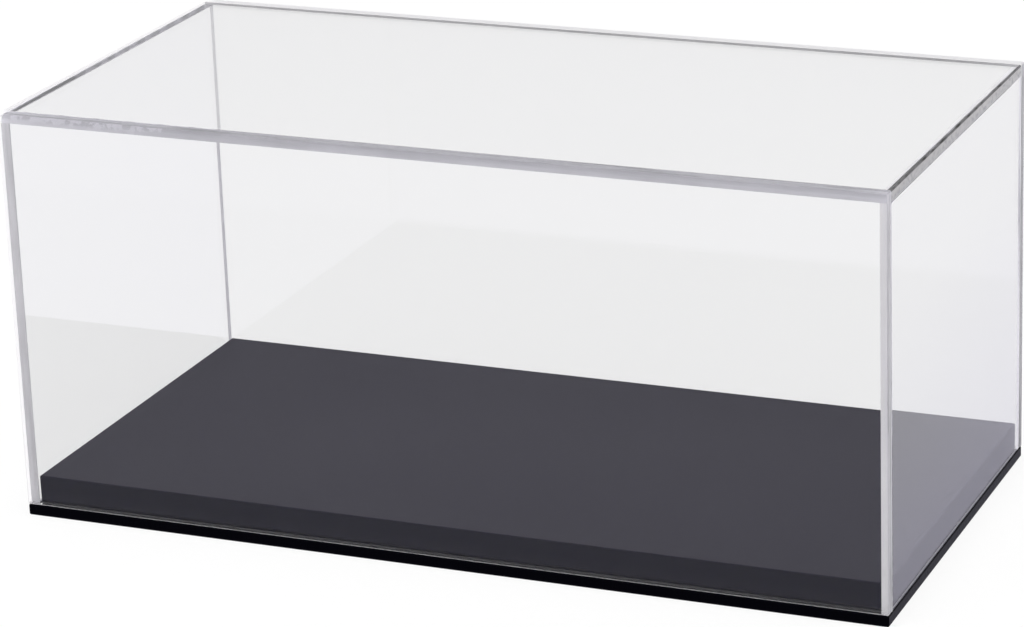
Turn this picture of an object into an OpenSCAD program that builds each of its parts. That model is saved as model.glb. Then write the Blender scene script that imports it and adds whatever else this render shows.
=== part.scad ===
// Display case: a clear cover of five bonded sheets that lifts off a stepped black base.
// Millimetres, +Z up. The origin is the centre of the base's underside, and the front faces -Y.

/* [Case] */
// Outside width, left to right
case_w = 240; // [160:1:400]
// Outside depth, front to back
case_d = 120; // [80:1:240]
// Height of the cover, from its lower edge to its top face
cover_h = 108.5; // [60:0.5:240]

/* [Cover] */
// Thickness of the front and back panels, which close the cover's full width and height
front_t = 3; // [2:0.1:6]
// Thickness of the left and right panels, which stand between those two
side_t = 2.5; // [2:0.1:6]
// Thickness of the top panel, which lies on the left and right panels
top_t = 3; // [2:0.1:6]
// Thickness of the cement film in the cover's joints
seam_t = 0.2; // [0.1:0.05:0.4]

/* [Base] */
// Thickness of the base plate, which the cover stands on
base_plate_t = 3; // [2:0.1:8]
// Thickness of the deck, which locates the cover
deck_t = 7.5; // [4:0.1:15]
// Gap between the deck's sides and the cover, all round
deck_clearance = 0.3; // [0.2:0.05:1]
// Thickness of the cement film under the deck
deck_film_t = 0.2; // [0.1:0.05:0.4]
// How far that film stays back from the deck's sides
deck_film_setback = 1.5; // [0.5:0.1:5]

/* [Hidden] */

LEFT = -1;
RIGHT = 1;
FRONT = -1;
BACK = 1;

// Inside width, depth and height of the cover
inside_w = case_w - 2 * side_t;
inside_d = case_d - 2 * front_t;
inside_h = cover_h - top_t;
// Depth of the side panels and the top, between the cement films on their front and back edges
core_d = inside_d - 2 * seam_t;
// Height of the side panels, under the cement film that carries the top
side_h = inside_h - seam_t;
// Plan of the deck, and the height of its underside
deck_w = inside_w - 2 * deck_clearance;
deck_d = inside_d - 2 * deck_clearance;
deck_z = base_plate_t + deck_film_t;
// How far the cut for the inside runs past the film that it opens
overcut = 1;

clear = [0.92, 0.94, 0.95, 0.3];
cement = [0.75, 0.77, 0.79, 0.6];
black = [0.05, 0.05, 0.06];

// Flat sheet of w by d that lies at height z, centred on the origin
module flat_sheet(w, d, thickness, z) {
    translate([-w / 2, -d / 2, z]) cube([w, d, thickness]);
}

// Upright sheet on the base plate, w wide and d deep in plan, with its centre at x, y
module wall(x, y, w, d, h) {
    translate([x - w / 2, y - d / 2, base_plate_t]) cube([w, d, h]);
}

// Front or back panel
module long_panel(end) {
    color(clear) wall(0, end * (case_d - front_t) / 2, case_w, front_t, cover_h);
}

// Left or right panel
module side_panel(side) {
    color(clear) wall(side * (case_w - side_t) / 2, 0, side_t, core_d, side_h);
}

// Cement film between the front or back panel and the edges of the sides and the top
module long_bond(end) {
    y = end * (core_d + seam_t) / 2;
    color(cement) difference() {
        wall(0, y, case_w, seam_t, cover_h);
        translate([0, 0, -overcut]) wall(0, y, inside_w, seam_t + 2 * overcut, inside_h + overcut);
    }
}

// Cement film between a side panel's upper edge and the top
module side_bond(side) {
    color(cement) translate([side * (case_w - side_t) / 2, 0])
        flat_sheet(side_t, core_d, seam_t, base_plate_t + side_h);
}

module base_plate() {
    color(black) flat_sheet(case_w, case_d, base_plate_t, 0);
}

module deck() {
    color(black) flat_sheet(deck_w, deck_d, deck_t, deck_z);
}

module deck_bond() {
    film_w = deck_w - 2 * deck_film_setback;
    film_d = deck_d - 2 * deck_film_setback;
    color(cement) flat_sheet(film_w, film_d, deck_film_t, base_plate_t);
}

module front_panel() {
    long_panel(FRONT);
}

module back_panel() {
    long_panel(BACK);
}

module left_panel() {
    side_panel(LEFT);
}

module right_panel() {
    side_panel(RIGHT);
}

module top_panel() {
    color(clear) flat_sheet(case_w, core_d, top_t, base_plate_t + inside_h);
}

module front_bond() {
    long_bond(FRONT);
}

module back_bond() {
    long_bond(BACK);
}

module left_bond() {
    side_bond(LEFT);
}

module right_bond() {
    side_bond(RIGHT);
}

base_plate();
deck();
deck_bond();
front_panel();
back_panel();
left_panel();
right_panel();
top_panel();
front_bond();
back_bond();
left_bond();
right_bond();
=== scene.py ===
"""Looks of the display case: a clear bonded acrylic cover on a stepped black acrylic base.

Metres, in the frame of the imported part: +X right, +Y back, +Z up, origin under the base's centre.
"""
import math

import bmesh
import bpy
from mathutils import Euler, Matrix, Vector


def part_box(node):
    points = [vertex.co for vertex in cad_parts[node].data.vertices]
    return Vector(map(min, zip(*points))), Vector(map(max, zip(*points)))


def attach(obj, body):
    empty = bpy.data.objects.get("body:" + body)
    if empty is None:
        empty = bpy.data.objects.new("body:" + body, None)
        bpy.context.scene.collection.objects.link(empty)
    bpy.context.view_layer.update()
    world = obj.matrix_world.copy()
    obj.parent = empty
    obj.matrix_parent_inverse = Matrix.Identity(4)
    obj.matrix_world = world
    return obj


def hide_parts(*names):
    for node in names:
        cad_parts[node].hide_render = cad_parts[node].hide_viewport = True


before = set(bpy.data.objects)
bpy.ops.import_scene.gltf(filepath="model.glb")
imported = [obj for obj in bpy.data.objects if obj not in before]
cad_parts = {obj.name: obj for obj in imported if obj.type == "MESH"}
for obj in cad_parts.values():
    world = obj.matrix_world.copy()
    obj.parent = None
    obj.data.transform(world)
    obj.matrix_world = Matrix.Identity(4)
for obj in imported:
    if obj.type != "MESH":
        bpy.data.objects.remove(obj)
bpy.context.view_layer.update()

MM = 0.001
X, Y, Z = 0, 1, 2

LONG_BONDS = ("front_bond", "back_bond")
SIDE_BONDS = ("left_bond", "right_bond")

# Hair gap that keeps two faces from lying in one plane
HAIR = 0.02 * MM
# Scraped edges of the clear sheets, along their feet, and of the black sheets
CHAMFER = 0.2 * MM
FOOT_CHAMFER = 0.4 * MM
BASE_CHAMFER = 0.3 * MM
# Wide scraped edge along the top's right, coloured near black as a painted line of shade, and fine one along
# the back's foot
WIDE_CHAMFER = 0.4 * MM
FINE_CHAMFER = 0.08 * MM
# Radius of the front panel's upper left corner
CORNER_R = 2.5 * MM
CORNER_STEPS = 8
# How far the cement stays back from the outside
FILM_SETBACK = 0.12 * MM
# Where along X the pale end of the front film's upper run stops
PALE_END = (-74 * MM, -71 * MM)
# Width of the whitish strip of painted light along the left of each side film, at its front and back end
PAINTED_LIGHT_STRIPS = {"left_bond": (0.8 * MM, 0.1 * MM), "right_bond": (0.75 * MM, 1.25 * MM)}
# Faces that meet at less than this are shaded as one
SHARP_ANGLE = math.radians(28)
# Share of a normal along an axis past which a face looks that way, and past which it leans that way
FACING, LEANING = 0.9, 0.5

# Sizes read from the frame
half_w, half_d, cover_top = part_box("back_panel")[1]
cover_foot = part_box("front_panel")[0].z + HAIR
inside_half_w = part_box("right_panel")[0].x
inside_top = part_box("top_panel")[0].z
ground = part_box("base_plate")[0].z

# Camera fitted to the photograph's straight edges
CAMERA_AT = Vector((0.37848, -0.87758, 0.38444))
CAMERA_AZIMUTH = 21.612
CAMERA_ELEVATION = 18.747
CAMERA_ROLL = -1.526
CAMERA_LENS = 133.97
CAMERA_SHIFT = (-0.1163, -0.0417)


# Nodes of the materials

def empty_material(name):
    material = bpy.data.materials.new(name)
    material.use_nodes = True
    tree = material.node_tree
    tree.nodes.clear()
    return material, tree, tree.nodes.new("ShaderNodeOutputMaterial")


def new_material(name):
    material, tree, output = empty_material(name)
    shader = tree.nodes.new("ShaderNodeBsdfPrincipled")
    tree.links.new(shader.outputs["BSDF"], output.inputs["Surface"])
    return material, tree, shader


# Stretch of a noise: none, into streaks along an axis, or into short ones
EVEN = (1, 1, 1)
ALONG_X, ALONG_Y, ALONG_Z = (0.05, 1, 1), (1, 0.05, 1), (1, 1, 0.05)
SHORT_ALONG_Z = (1, 1, 0.15)
# Range that a noise mostly fills
NOISE_LOW, NOISE_HIGH = 0.3, 0.7


def object_noise(tree, grain, detail=2.0, stretch=EVEN):
    """Noise with so many cells to a metre of the part."""
    coordinates = tree.nodes.new("ShaderNodeTexCoord")
    mapping = tree.nodes.new("ShaderNodeMapping")
    mapping.inputs["Scale"].default_value = stretch
    noise = tree.nodes.new("ShaderNodeTexNoise")
    noise.inputs["Scale"].default_value = grain
    noise.inputs["Detail"].default_value = detail
    tree.links.new(coordinates.outputs["Object"], mapping.inputs["Vector"])
    tree.links.new(mapping.outputs["Vector"], noise.inputs["Vector"])
    return noise.outputs["Fac"]


def ranged(tree, value, low, high, from_low=NOISE_LOW, from_high=NOISE_HIGH):
    """Value brought from one range to another, by default from the range of a noise."""
    node = tree.nodes.new("ShaderNodeMapRange")
    node.inputs["From Min"].default_value = from_low
    node.inputs["From Max"].default_value = from_high
    node.inputs["To Min"].default_value = low
    node.inputs["To Max"].default_value = high
    tree.links.new(value, node.inputs["Value"])
    return node.outputs["Result"]


def combine(tree, operation, first, second):
    """Result of a math operation on two values, each a socket or a float."""
    node = tree.nodes.new("ShaderNodeMath")
    node.operation = operation
    for socket, value in zip(node.inputs, (first, second)):
        if isinstance(value, float):
            socket.default_value = value
        else:
            tree.links.new(value, socket)
    return node.outputs["Value"]


def parts_of(tree, vector):
    """X, Y and Z of a vector, by name."""
    node = tree.nodes.new("ShaderNodeSeparateXYZ")
    tree.links.new(vector, node.inputs["Vector"])
    return node.outputs


def color_ramp(tree, value, places, colors):
    """Colour that runs from the first to the second as the value goes from place to place."""
    ramp = tree.nodes.new("ShaderNodeValToRGB")
    for stop, place, color in zip(ramp.color_ramp.elements, places, colors):
        stop.position = place
        stop.color = (*color, 1)
    tree.links.new(value, ramp.inputs["Fac"])
    return ramp.outputs["Color"]


# Green and blue of a lilac grey, as multiples of its red: on most edges, and along the front's top
LILAC, FRONT_LILAC = (0.99, 1.03), (0.99, 1.045)


def shades(tree, value, shade, places=(NOISE_LOW, NOISE_HIGH), tint=LILAC):
    """Tinted grey, from the dark to the light of the shade as the value goes from place to place."""
    green, blue = tint
    colors = [(grey, grey * green, min(1.0, grey * blue)) for grey in shade]
    return color_ramp(tree, value, places, colors)


# Relief of the black sheets
BUMP_STRENGTH = 0.01
BUMP_DEPTH = 0.02 * MM


def add_bump(tree, shader, height):
    bump = tree.nodes.new("ShaderNodeBump")
    bump.inputs["Strength"].default_value = BUMP_STRENGTH
    bump.inputs["Distance"].default_value = BUMP_DEPTH
    tree.links.new(height, bump.inputs["Height"])
    tree.links.new(bump.outputs["Normal"], shader.inputs["Normal"])


# Share of a lamp's light that crosses a polished face, a wetted one and a frosted one
POLISHED_PASS, WETTED_PASS, FROSTED_PASS = 0.97, 1.0, 0.85


def let_lamps_through(tree, surface, share):
    """Lamps shine straight through the sheet, as they do through a thin clear pane."""
    path = tree.nodes.new("ShaderNodeLightPath")
    clear = tree.nodes.new("ShaderNodeBsdfTransparent")
    clear.inputs["Color"].default_value = (share, share, share, 1)
    mix = tree.nodes.new("ShaderNodeMixShader")
    tree.links.new(path.outputs["Is Shadow Ray"], mix.inputs["Fac"])
    tree.links.new(surface, mix.inputs[1])
    tree.links.new(clear.outputs["BSDF"], mix.inputs[2])
    tree.links.new(mix.outputs["Shader"], tree.get_output_node("ALL").inputs["Surface"])


# Materials

ACRYLIC_IOR = 1.49
# Cement and the faces that it wets let light cross without bending
CEMENT_IOR = 1.0
# Grains of the noises, in cells to the metre
SAW_GRAIN = 1500
BUBBLE_GRAIN, STREAK_GRAIN = 420, 900
HANDLING_GRAIN, SATIN_GRAIN = 14, 2600
# Noise at which the marks on a sawn edge are darkest, and at which they are lightest
SAW_MARKS = (0.36, 0.52)


def clear_face(name, tint, ior=ACRYLIC_IOR, lamp_share=POLISHED_PASS):
    """Smooth face of a clear sheet: a polished one, or one that cement has wetted."""
    material, tree, shader = new_material(name)
    shader.inputs["Base Color"].default_value = (tint, tint, tint, 1)
    shader.inputs["IOR"].default_value = ior
    shader.inputs["Transmission Weight"].default_value = 1.0
    shader.inputs["Roughness"].default_value = 0.0
    let_lamps_through(tree, shader.outputs["BSDF"], lamp_share)
    return material


def cut_edge(name, frosting, shade, grain=SAW_GRAIN, stretch=EVEN, tint=LILAC):
    """Sawn or scraped edge of a clear sheet: how frosted it is, and the shades and grain of its marks."""
    material, tree, shader = new_material(name)
    shader.inputs["IOR"].default_value = ACRYLIC_IOR
    shader.inputs["Transmission Weight"].default_value = 0.3
    marks = object_noise(tree, grain, stretch=stretch)
    tree.links.new(ranged(tree, marks, 0.38, 0.5), shader.inputs["Roughness"])
    color = shades(tree, marks, shade, SAW_MARKS, tint)
    tree.links.new(color, shader.inputs["Base Color"])
    frost = tree.nodes.new("ShaderNodeBsdfTranslucent")
    tree.links.new(color, frost.inputs["Color"])
    both = tree.nodes.new("ShaderNodeMixShader")
    both.inputs["Fac"].default_value = frosting
    tree.links.new(shader.outputs["BSDF"], both.inputs[1])
    tree.links.new(frost.outputs["BSDF"], both.inputs[2])
    let_lamps_through(tree, both.outputs["Shader"], FROSTED_PASS)
    return material


# Haze of the front film's upper run: at its lower and upper edge, outside and inside its pale end's bubbles,
# and from one streak to the next
RUN_HAZE, BUBBLE_HAZE, STREAK_HAZE = (0.7, 0.3), (0.2, 0.95), 0.4
# Noise at which a bubble begins, and at which it is whole
BUBBLE_EDGE = (0.4, 0.6)


def front_run(tree, streaks, bubbles):
    """Haze of the front film's upper run: lighter towards its lower edge, and pale at its left end."""
    coordinates = tree.nodes.new("ShaderNodeTexCoord")
    place = parts_of(tree, coordinates.outputs["Object"])
    low = ranged(tree, place["Z"], *RUN_HAZE, inside_top, cover_top)
    pale_end = ranged(tree, place["X"], 1.0, 0.0, *PALE_END)
    pale = combine(tree, "MULTIPLY", pale_end, ranged(tree, bubbles, *BUBBLE_HAZE, *BUBBLE_EDGE))
    grade = combine(tree, "SUBTRACT", combine(tree, "MAXIMUM", low, pale), STREAK_HAZE / 2)
    return combine(tree, "ADD", grade, combine(tree, "MULTIPLY", streaks, STREAK_HAZE))


def cement(name, clear, shade, stretch, in_front=False):
    """Cured cement film: how clear it is, and how light its streaks of haze are, each from low to high."""
    material, tree, shader = new_material(name)
    shader.inputs["IOR"].default_value = CEMENT_IOR
    shader.inputs["Roughness"].default_value = 0.3
    bubbles = object_noise(tree, BUBBLE_GRAIN, 3.0)
    tree.links.new(ranged(tree, bubbles, *clear), shader.inputs["Transmission Weight"])
    haze, tint = object_noise(tree, STREAK_GRAIN, stretch=stretch), LILAC
    if in_front:
        haze, tint = front_run(tree, haze, bubbles), FRONT_LILAC
    tree.links.new(shades(tree, haze, shade, tint=tint), shader.inputs["Base Color"])
    let_lamps_through(tree, shader.outputs["BSDF"], FROSTED_PASS)
    return material


def black_face():
    """Moulded face of the black sheet: satin, with faint handling haze."""
    material, tree, shader = new_material("black_face")
    shader.inputs["Base Color"].default_value = (0.0355, 0.034, 0.0455, 1)
    shader.inputs["IOR"].default_value = ACRYLIC_IOR
    shader.inputs["Specular IOR Level"].default_value = 0.015
    haze = object_noise(tree, HANDLING_GRAIN, 4.0)
    tree.links.new(ranged(tree, haze, 0.46, 0.54), shader.inputs["Roughness"])
    add_bump(tree, shader, object_noise(tree, SATIN_GRAIN))
    return material


def black_edge(name, color, specular, roughness):
    """Cut edge of a black sheet."""
    material, tree, shader = new_material(name)
    shader.inputs["Base Color"].default_value = (*color, 1)
    shader.inputs["IOR"].default_value = ACRYLIC_IOR
    shader.inputs["Specular IOR Level"].default_value = specular
    marks = object_noise(tree, SATIN_GRAIN, stretch=SHORT_ALONG_Z)
    tree.links.new(ranged(tree, marks, *roughness), shader.inputs["Roughness"])
    add_bump(tree, shader, marks)
    return material


CLEAR = clear_face("clear_acrylic", 0.98)
SIDE_CLEAR = clear_face("side_clear", 1.0)
BACK_CLEAR = clear_face("back_clear", 0.95)
WETTED = clear_face("wetted_face", 0.985, CEMENT_IOR, WETTED_PASS)

CUT_EDGE = cut_edge("cut_edge", 0.6, (0.6, 1.0))
# Whiter copy of the sawn edge for the left-hand edges: painted light, as if lit from outside on the left
PAINTED_LIT_EDGE = cut_edge("painted_lit_edge", 0.92, (0.97, 1.0))
# Whiter copy of the sawn edge for the back panel's upper edge: painted light, as if lit from above
BACK_EDGE_PAINTED_LIGHT = cut_edge("back_edge_painted_light", 0.1, (0.95, 1.0))
RIGHT_EDGE = cut_edge("right_edge", 0.75, (0.75, 1.0), grain=800)
# Near-black copy of the sawn edge for the top's wide scraped edge: a painted line of shade
PAINTED_SHADE_EDGE = cut_edge("painted_shade_edge", 0.2, (0.01, 0.2), grain=300)
UPRIGHT_EDGE = cut_edge("upright_edge", 0.6, (0.64, 0.94), STREAK_GRAIN, ALONG_Z)
FRONT_EDGE = cut_edge("front_edge", 0.6, (0.6, 0.82), STREAK_GRAIN, ALONG_X, FRONT_LILAC)

# How clear a film is, from its haziest to its clearest spot
HAZY, HALF_CLEAR, NEARLY_CLEAR = (0.1, 0.3), (0.4, 0.6), (0.97, 1.0)
TOP_CEMENT = cement("top_cement", HAZY, (0.61, 0.86), ALONG_X, in_front=True)
# Legs of the long films: darker copies down the left and lighter ones down the right, painted shade and
# painted light
LEFT_LEG = cement("left_leg", HAZY, (0.68, 0.84), ALONG_Z)
RIGHT_LEG = cement("right_leg", HAZY, (0.94, 1.0), ALONG_Z)
BACK_TOP = cement("back_top", HAZY, (0.62, 0.78), ALONG_X)
BACK_LEFT_LEG = cement("back_left_leg", HALF_CLEAR, (0.78, 0.9), ALONG_Z)
BACK_RIGHT_LEG = cement("back_right_leg", NEARLY_CLEAR, (0.95, 1.0), ALONG_Z)
# Side films: nearly clear but darkened, painted shade for the dark lines along the top's left and right;
# whitish strips of painted light beside them
LEFT_CEMENT_PAINTED_SHADE = cement("left_cement_painted_shade", NEARLY_CLEAR, (0.66, 0.78), ALONG_Y)
RIGHT_CEMENT_PAINTED_SHADE = cement("right_cement_painted_shade", NEARLY_CLEAR, (0.3, 0.6), ALONG_Y)
PAINTED_LIGHT_CEMENT = cement("painted_light_cement", HAZY, (0.95, 1.0), ALONG_Y)

BLACK_FACE = black_face()
PLATE_EDGE = black_edge("plate_edge", (0.001, 0.0009, 0.003), 0.035, (0.25, 0.32))
DECK_EDGE = black_edge("deck_edge", (0.002, 0.0018, 0.009), 0.005, (0.6, 0.7))


# Sheets

def new_box(low, high):
    """Closed box between two corners, as a mesh to work on."""
    work = bmesh.new()
    place = Matrix.Translation((low + high) / 2) @ Matrix.Diagonal((*(high - low), 1))
    bmesh.ops.create_cube(work, size=1.0, matrix=place)
    return work


def scrape(work, edges, width, steps=1):
    bmesh.ops.bevel(work, geom=edges, offset=width, segments=steps, profile=0.5, affect="EDGES")
    work.normal_update()


def cut(work, point, normal):
    """Splits the faces that the plane through the point crosses."""
    geometry = [*work.verts, *work.edges, *work.faces]
    bmesh.ops.bisect_plane(work, geom=geometry, dist=HAIR / 10, plane_co=point, plane_no=normal)


def to_object(work, name, choose):
    """Makes the object, with the material that choose gives for each face."""
    looks = [choose(face) for face in work.faces]
    materials = list(dict.fromkeys(looks))
    for face, look in zip(work.faces, looks):
        face.smooth = True
        face.material_index = materials.index(look)
    mesh = bpy.data.meshes.new(name)
    work.to_mesh(mesh)
    work.free()
    mesh.set_sharp_from_angle(angle=SHARP_ANGLE)
    for material in materials:
        mesh.materials.append(material)
    piece = bpy.data.objects.new(name, mesh)
    bpy.context.scene.collection.objects.link(piece)
    return piece


def dress(piece, body, node):
    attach(piece, body)
    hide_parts(node)


# Cover

long_films = [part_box(name) for name in LONG_BONDS]
side_films = [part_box(name) for name in SIDE_BONDS]


def inside_box(point, box):
    low, high = box
    return all(low[i] < point[i] < high[i] for i in (X, Y, Z))


def in_cement(point):
    """True inside one of the cement films."""
    if any(inside_box(point, box) for box in long_films):
        return abs(point.x) > inside_half_w or point.z > inside_top
    return any(inside_box(point, box) for box in side_films)


def planes_at(point):
    """Names of the planes of the cover that a point lies on: its outside ones, and the sides' inner faces."""
    planes = {
        "left": point.x + half_w, "right": point.x - half_w,
        "front": point.y + half_d, "back": point.y - half_d,
        "top": point.z - cover_top, "foot": point.z - cover_foot,
        "inside": abs(point.x) - inside_half_w,
    }
    return {name for name, distance in planes.items() if abs(distance) < HAIR / 2}


def shared_planes(work):
    """For each edge, the planes that both its ends lie on."""
    return {e: planes_at(e.verts[0].co) & planes_at(e.verts[1].co) for e in work.edges}


# Each clear panel: the axis that its polished faces look along, and their looks
PANELS = {
    "front_panel": (Y, CLEAR),
    "back_panel": (Y, BACK_CLEAR),
    "left_panel": (X, SIDE_CLEAR),
    "right_panel": (X, SIDE_CLEAR),
    "top_panel": (Z, CLEAR),
}
# Panels with an edge worked in its own way: the planes that meet there, its width, and its steps
OWN_EDGES = {
    "front_panel": ({"left", "top"}, CORNER_R, CORNER_STEPS),
    "back_panel": ({"back", "foot"}, FINE_CHAMFER, 1),
    "top_panel": ({"right", "top"}, WIDE_CHAMFER, 1),
}
# Upper edges of the two panels that have the cover's full width and height; the back one's is a whiter copy
# of the sawn edge, painted light from above
UPPER_EDGES = {"front_panel": FRONT_EDGE, "back_panel": BACK_EDGE_PAINTED_LIGHT}
# Cement of each long film: along the top, and down the left and right, the left legs darker and the right
# ones lighter as painted shade and painted light
LONG_CEMENTS = {
    "front_bond": (TOP_CEMENT, LEFT_LEG, RIGHT_LEG),
    "back_bond": (BACK_TOP, BACK_LEFT_LEG, BACK_RIGHT_LEG),
}
# Cement of each side film beside its strip of painted light: darkened, as painted shade
SIDE_CEMENTS = {"left_bond": LEFT_CEMENT_PAINTED_SHADE, "right_bond": RIGHT_CEMENT_PAINTED_SHADE}


def make_panel(node, polished_axis, clear):
    """Clear sheet: polished faces, scraped outside edges, and wetted faces where cement meets it."""
    low, high = (corner.copy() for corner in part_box(node))
    low.z = max(low.z, cover_foot)
    work = new_box(low, high)
    if node in OWN_EDGES:
        planes, width, steps = OWN_EDGES[node]
        scrape(work, [e for e, p in shared_planes(work).items() if p == planes], width, steps)
    for on_foot, width in ((True, FOOT_CHAMFER), (False, CHAMFER)):
        shared = shared_planes(work)
        scrape(work, [e for e, p in shared.items() if len(p) == 2 and ("foot" in p) == on_foot], width)
    for axis, place in ((X, -inside_half_w), (X, inside_half_w), (Z, inside_top)):
        if low[axis] + HAIR < place < high[axis] - HAIR:
            normal = Matrix.Identity(3)[axis]
            cut(work, normal * place, normal)
    work.normal_update()

    def finish(face):
        middle = face.calc_center_median()
        normal = face.normal
        on_foot = normal.z < -FACING
        if in_cement(middle + normal * 2 * HAIR) or (on_foot and node == "right_panel"):
            return WETTED
        if abs(normal[polished_axis]) > FACING or on_foot:
            return clear
        if node in UPPER_EDGES and normal.z > LEANING:
            return UPPER_EDGES[node]
        if node in UPPER_EDGES and normal.x > LEANING:
            return UPRIGHT_EDGE
        # On the top's right end the scraped face is coloured near black, a painted line of shade
        if node == "top_panel" and normal.x > LEANING:
            return PAINTED_SHADE_EDGE if normal.z > LEANING else RIGHT_EDGE
        # Left-hand edges on the left take the whiter copy of the sawn edge, painted light
        return PAINTED_LIT_EDGE if normal.x < -LEANING and middle.x < 0 else CUT_EDGE

    dress(to_object(work, node + "_sheet", finish), "cover", node)


def make_long_bond(node):
    """Film behind the front panel or before the back one: over both sides' edges and the top's."""
    low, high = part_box(node)
    outer_x, outer_z = half_w - FILM_SETBACK, cover_top - FILM_SETBACK
    left_corner = [(-outer_x, outer_z)]
    if node == "front_bond":
        turns = [math.radians(90 * i / CORNER_STEPS) for i in range(CORNER_STEPS + 1)]
        reach = CORNER_R - FILM_SETBACK
        left_corner = [
            (CORNER_R - half_w - reach * math.cos(turn), cover_top - CORNER_R + reach * math.sin(turn))
            for turn in turns
        ]
    outline = (
        (-outer_x, cover_foot), (-inside_half_w, cover_foot), (-inside_half_w, inside_top),
        (inside_half_w, inside_top), (inside_half_w, cover_foot), (outer_x, cover_foot),
        (outer_x, inside_top), (outer_x, outer_z), *reversed(left_corner), (-outer_x, inside_top),
    )
    work = bmesh.new()
    verts = [work.verts.new((x, low.y + HAIR, z)) for x, z in outline]
    left_leg, run, right_leg = (*verts[:3], verts[-1]), (*verts[2:4], *verts[6:]), verts[3:7]
    faces = [work.faces.new(corners) for corners in (left_leg, run, right_leg)]
    grown = bmesh.ops.extrude_face_region(work, geom=faces)["geom"]
    deep = Vector((0, high.y - low.y - 2 * HAIR, 0))
    bmesh.ops.translate(work, vec=deep, verts=[v for v in grown if isinstance(v, bmesh.types.BMVert)])
    bmesh.ops.recalc_face_normals(work, faces=work.faces)
    top, left, right = LONG_CEMENTS[node]

    def fill(face):
        middle = face.calc_center_median()
        if middle.z > inside_top:
            return top
        return left if middle.x < 0 else right

    dress(to_object(work, node + "_film", fill), "cover", node)


def make_side_bond(node):
    """Film on a side panel's upper edge: clear and darkened as painted shade, but for a whitish strip of
    painted light.
    """
    low, high = (corner.copy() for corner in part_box(node))
    front, back = PAINTED_LIGHT_STRIPS[node]
    strip_end = low + Vector((front, 0, 0))
    across = Vector((high.y - low.y, front - back, 0))
    low += Vector((0, HAIR, HAIR))
    high -= Vector((0, HAIR, HAIR))
    if low.x < 0:
        low.x += FILM_SETBACK
    else:
        high.x -= FILM_SETBACK
    work = new_box(low, high)
    cut(work, strip_end, across)

    def fill(face):
        past_strip = (face.calc_center_median() - strip_end).dot(across) > 0
        return SIDE_CEMENTS[node] if past_strip else PAINTED_LIGHT_CEMENT

    dress(to_object(work, node + "_film", fill), "cover", node)


for node, looks in PANELS.items():
    make_panel(node, *looks)
for node in LONG_BONDS:
    make_long_bond(node)
for node in SIDE_BONDS:
    make_side_bond(node)


# Base

def make_black_sheet(node, edge):
    work = new_box(*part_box(node))
    scrape(work, list(work.edges), BASE_CHAMFER)

    def finish(face):
        return BLACK_FACE if abs(face.normal.z) > FACING else edge

    dress(to_object(work, node + "_sheet", finish), "base", node)


make_black_sheet("base_plate", PLATE_EDGE)
make_black_sheet("deck", DECK_EDGE)

deck_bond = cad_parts["deck_bond"]
deck_bond.data.materials.clear()
deck_bond.data.materials.append(BACK_TOP)


# Stage

FLOOR_HALF = 3.0
# Grey of the floor's paint, and the glow that makes it white
FLOOR_PAINT = 0.14
FLOOR_GLOW = 0.87
# Light on the object from the world, and how bright the studio is in a reflection
WORLD_LIGHT = 0.6
MIRRORED_WORLD = 0.65
# The floor right of the case, near it and further off: its level behind a frosted edge, and its colour
# in a reflection; near the case both are dimmed as painted shade, and the reflection is a painted lilac one
SIDE_FLOOR_PAINTED_SHADE = (0.6, 0.8)
PAINTED_FLOOR_REFLECTION = ((0.585, 0.57, 0.69), (0.715, 0.712, 0.735))
# Where along X it changes from one to the other
SIDE_FADE = (0.125, 0.19)
# Where along Y the floor towards the viewer begins, which the outer faces don't mirror: a painted dark
# reflection
FRONT_FADE = (-0.075, -0.055)
# Each lamp: its place, its size in metres, and its power in watts
LAMPS = {"key": ((-0.9, -0.7, 1.5), 1.2, 14), "fill": ((1.1, 0.5, 1.3), 1.2, 9)}
LAMP_AIM = Vector((0, 0, 0.05))
# Bounces of a path, since light runs a long way inside a clear sheet before it leaves by an edge
LONG_PATH = 160
# Clear layers that a lamp shines through
CLEAR_LAYERS = 48


def light_path(tree):
    """What a ray is, by name, and 1 for rays mirrored off a gloss."""
    path = tree.nodes.new("ShaderNodeLightPath").outputs
    return path, combine(tree, "MULTIPLY", path["Is Reflection Ray"], path["Is Glossy Ray"])


def add_glow(tree, surface, level, color=None):
    """Surface with a glow of that level, white or of the given colour."""
    glow = tree.nodes.new("ShaderNodeEmission")
    glow.inputs["Color"].default_value = (1, 1, 1, 1)
    if color:
        tree.links.new(color, glow.inputs["Color"])
    tree.links.new(combine(tree, "MULTIPLY", level, FLOOR_GLOW), glow.inputs["Strength"])
    both = tree.nodes.new("ShaderNodeAddShader")
    tree.links.new(surface, both.inputs[0])
    tree.links.new(glow.outputs["Emission"], both.inputs[1])
    return both.outputs["Shader"]


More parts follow.
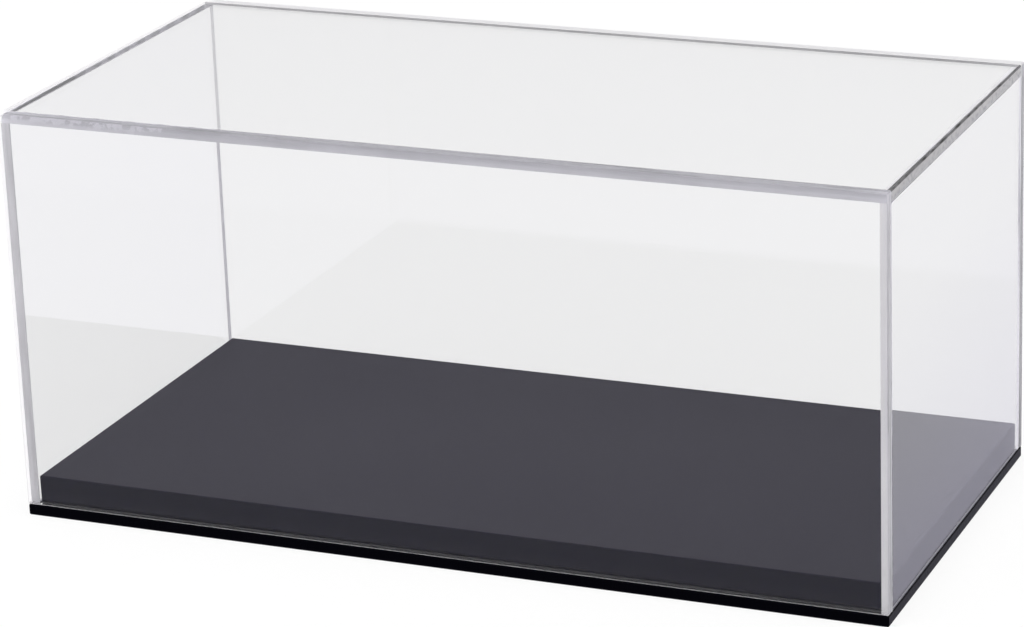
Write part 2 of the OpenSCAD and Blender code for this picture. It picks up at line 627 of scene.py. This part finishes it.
def floor_finish():
    """Paint that takes the shadow, and a glow for rays from the eye, through the sheets or off them; off them
    the glow is a painted reflection, dark and lilac near the case, and behind frosted edges right of the case
    it is dimmed as painted shade.
    """
    material, tree, output = empty_material("floor")
    paint = tree.nodes.new("ShaderNodeBsdfDiffuse")
    paint.inputs["Color"].default_value = (FLOOR_PAINT, FLOOR_PAINT, FLOOR_PAINT, 1)
    geometry = tree.nodes.new("ShaderNodeNewGeometry")
    place = parts_of(tree, geometry.outputs["Position"])
    path, mirrored = light_path(tree)
    through = path["Is Transmission Ray"]
    bounced = combine(tree, "GREATER_THAN", path["Glossy Depth"], 0.5)
    inner = combine(tree, "MULTIPLY", through, bounced)
    clear = combine(tree, "SUBTRACT", through, inner)

    # Seen straight on or through the sheets, dimmed as painted shade right of the case behind a frosted edge
    side = ranged(tree, place["X"], *SIDE_FLOOR_PAINTED_SHADE, *SIDE_FADE)
    not_beside = combine(tree, "LESS_THAN", place["X"], half_w)
    not_frosted = combine(tree, "SUBTRACT", 1.0, path["Is Diffuse Ray"])
    bright = combine(tree, "MAXIMUM", not_beside, not_frosted)
    clear = combine(tree, "MULTIPLY", clear, combine(tree, "MAXIMUM", side, bright))
    surface = add_glow(tree, paint.outputs["BSDF"], combine(tree, "ADD", path["Is Camera Ray"], clear))

    # Seen mirrored, inside a sheet or off its face: a painted reflection, darker and lilac near the case, and
    # off an outer face dark towards the viewer
    not_in_front = ranged(tree, place["Y"], 0.0, 1.0, *FRONT_FADE)
    painted_reflection = combine(tree, "ADD", inner, combine(tree, "MULTIPLY", mirrored, not_in_front))
    painted_reflection_color = color_ramp(tree, place["X"], SIDE_FADE, PAINTED_FLOOR_REFLECTION)
    surface = add_glow(tree, surface, painted_reflection, painted_reflection_color)
    tree.links.new(surface, output.inputs["Surface"])
    return material


def make_floor():
    mesh = bpy.data.meshes.new("floor")
    sides = ((-1, -1), (1, -1), (1, 1), (-1, 1))
    corners = [(sx * FLOOR_HALF, sy * FLOOR_HALF, ground - HAIR) for sx, sy in sides]
    mesh.from_pydata(corners, [], [(0, 1, 2, 3)])
    mesh.materials.append(floor_finish())
    floor = bpy.data.objects.new("floor", mesh)
    bpy.context.scene.collection.objects.link(floor)


def make_world():
    world = bpy.data.worlds.new("studio")
    world.use_nodes = True
    tree = world.node_tree
    background = tree.nodes["Background"]
    background.inputs["Color"].default_value = (1, 1, 1, 1)
    path, mirrored = light_path(tree)
    seen = combine(tree, "MAXIMUM", path["Is Transmission Ray"], path["Is Camera Ray"])
    extra_seen = combine(tree, "MULTIPLY", seen, 1.0 - WORLD_LIGHT)
    extra_mirrored = combine(tree, "MULTIPLY", mirrored, MIRRORED_WORLD - WORLD_LIGHT)
    extra = combine(tree, "ADD", extra_seen, extra_mirrored)
    tree.links.new(combine(tree, "ADD", extra, WORLD_LIGHT), background.inputs["Strength"])
    bpy.context.scene.world = world


def make_lamp(name, at, size, power):
    lamp = bpy.data.lights.new(name, "AREA")
    lamp.size = size
    lamp.energy = power
    holder = bpy.data.objects.new(name, lamp)
    holder.location = at
    holder.rotation_euler = (LAMP_AIM - Vector(at)).to_track_quat("-Z", "Y").to_euler()
    holder.visible_glossy = False
    holder.visible_transmission = False
    bpy.context.scene.collection.objects.link(holder)


def make_camera():
    camera = bpy.data.cameras.new("camera")
    camera.lens = CAMERA_LENS
    camera.sensor_width = 36
    camera.shift_x, camera.shift_y = CAMERA_SHIFT
    camera.clip_start = 0.01
    holder = bpy.data.objects.new("camera", camera)
    tilt = Euler((math.radians(90 - CAMERA_ELEVATION), 0, math.radians(CAMERA_AZIMUTH))).to_matrix()
    roll = Matrix.Rotation(math.radians(CAMERA_ROLL), 3, "Z")
    holder.rotation_euler = (tilt @ roll).to_euler()
    holder.location = CAMERA_AT
    bpy.context.scene.collection.objects.link(holder)
    bpy.context.scene.camera = holder


make_floor()
make_world()
for name, lamp in LAMPS.items():
    make_lamp(name, *lamp)
make_camera()

scene = bpy.context.scene
scene.view_settings.view_transform = "Standard"
scene.cycles.max_bounces = LONG_PATH
scene.cycles.transmission_bounces = LONG_PATH
scene.cycles.glossy_bounces = LONG_PATH
scene.cycles.transparent_max_bounces = CLEAR_LAYERS
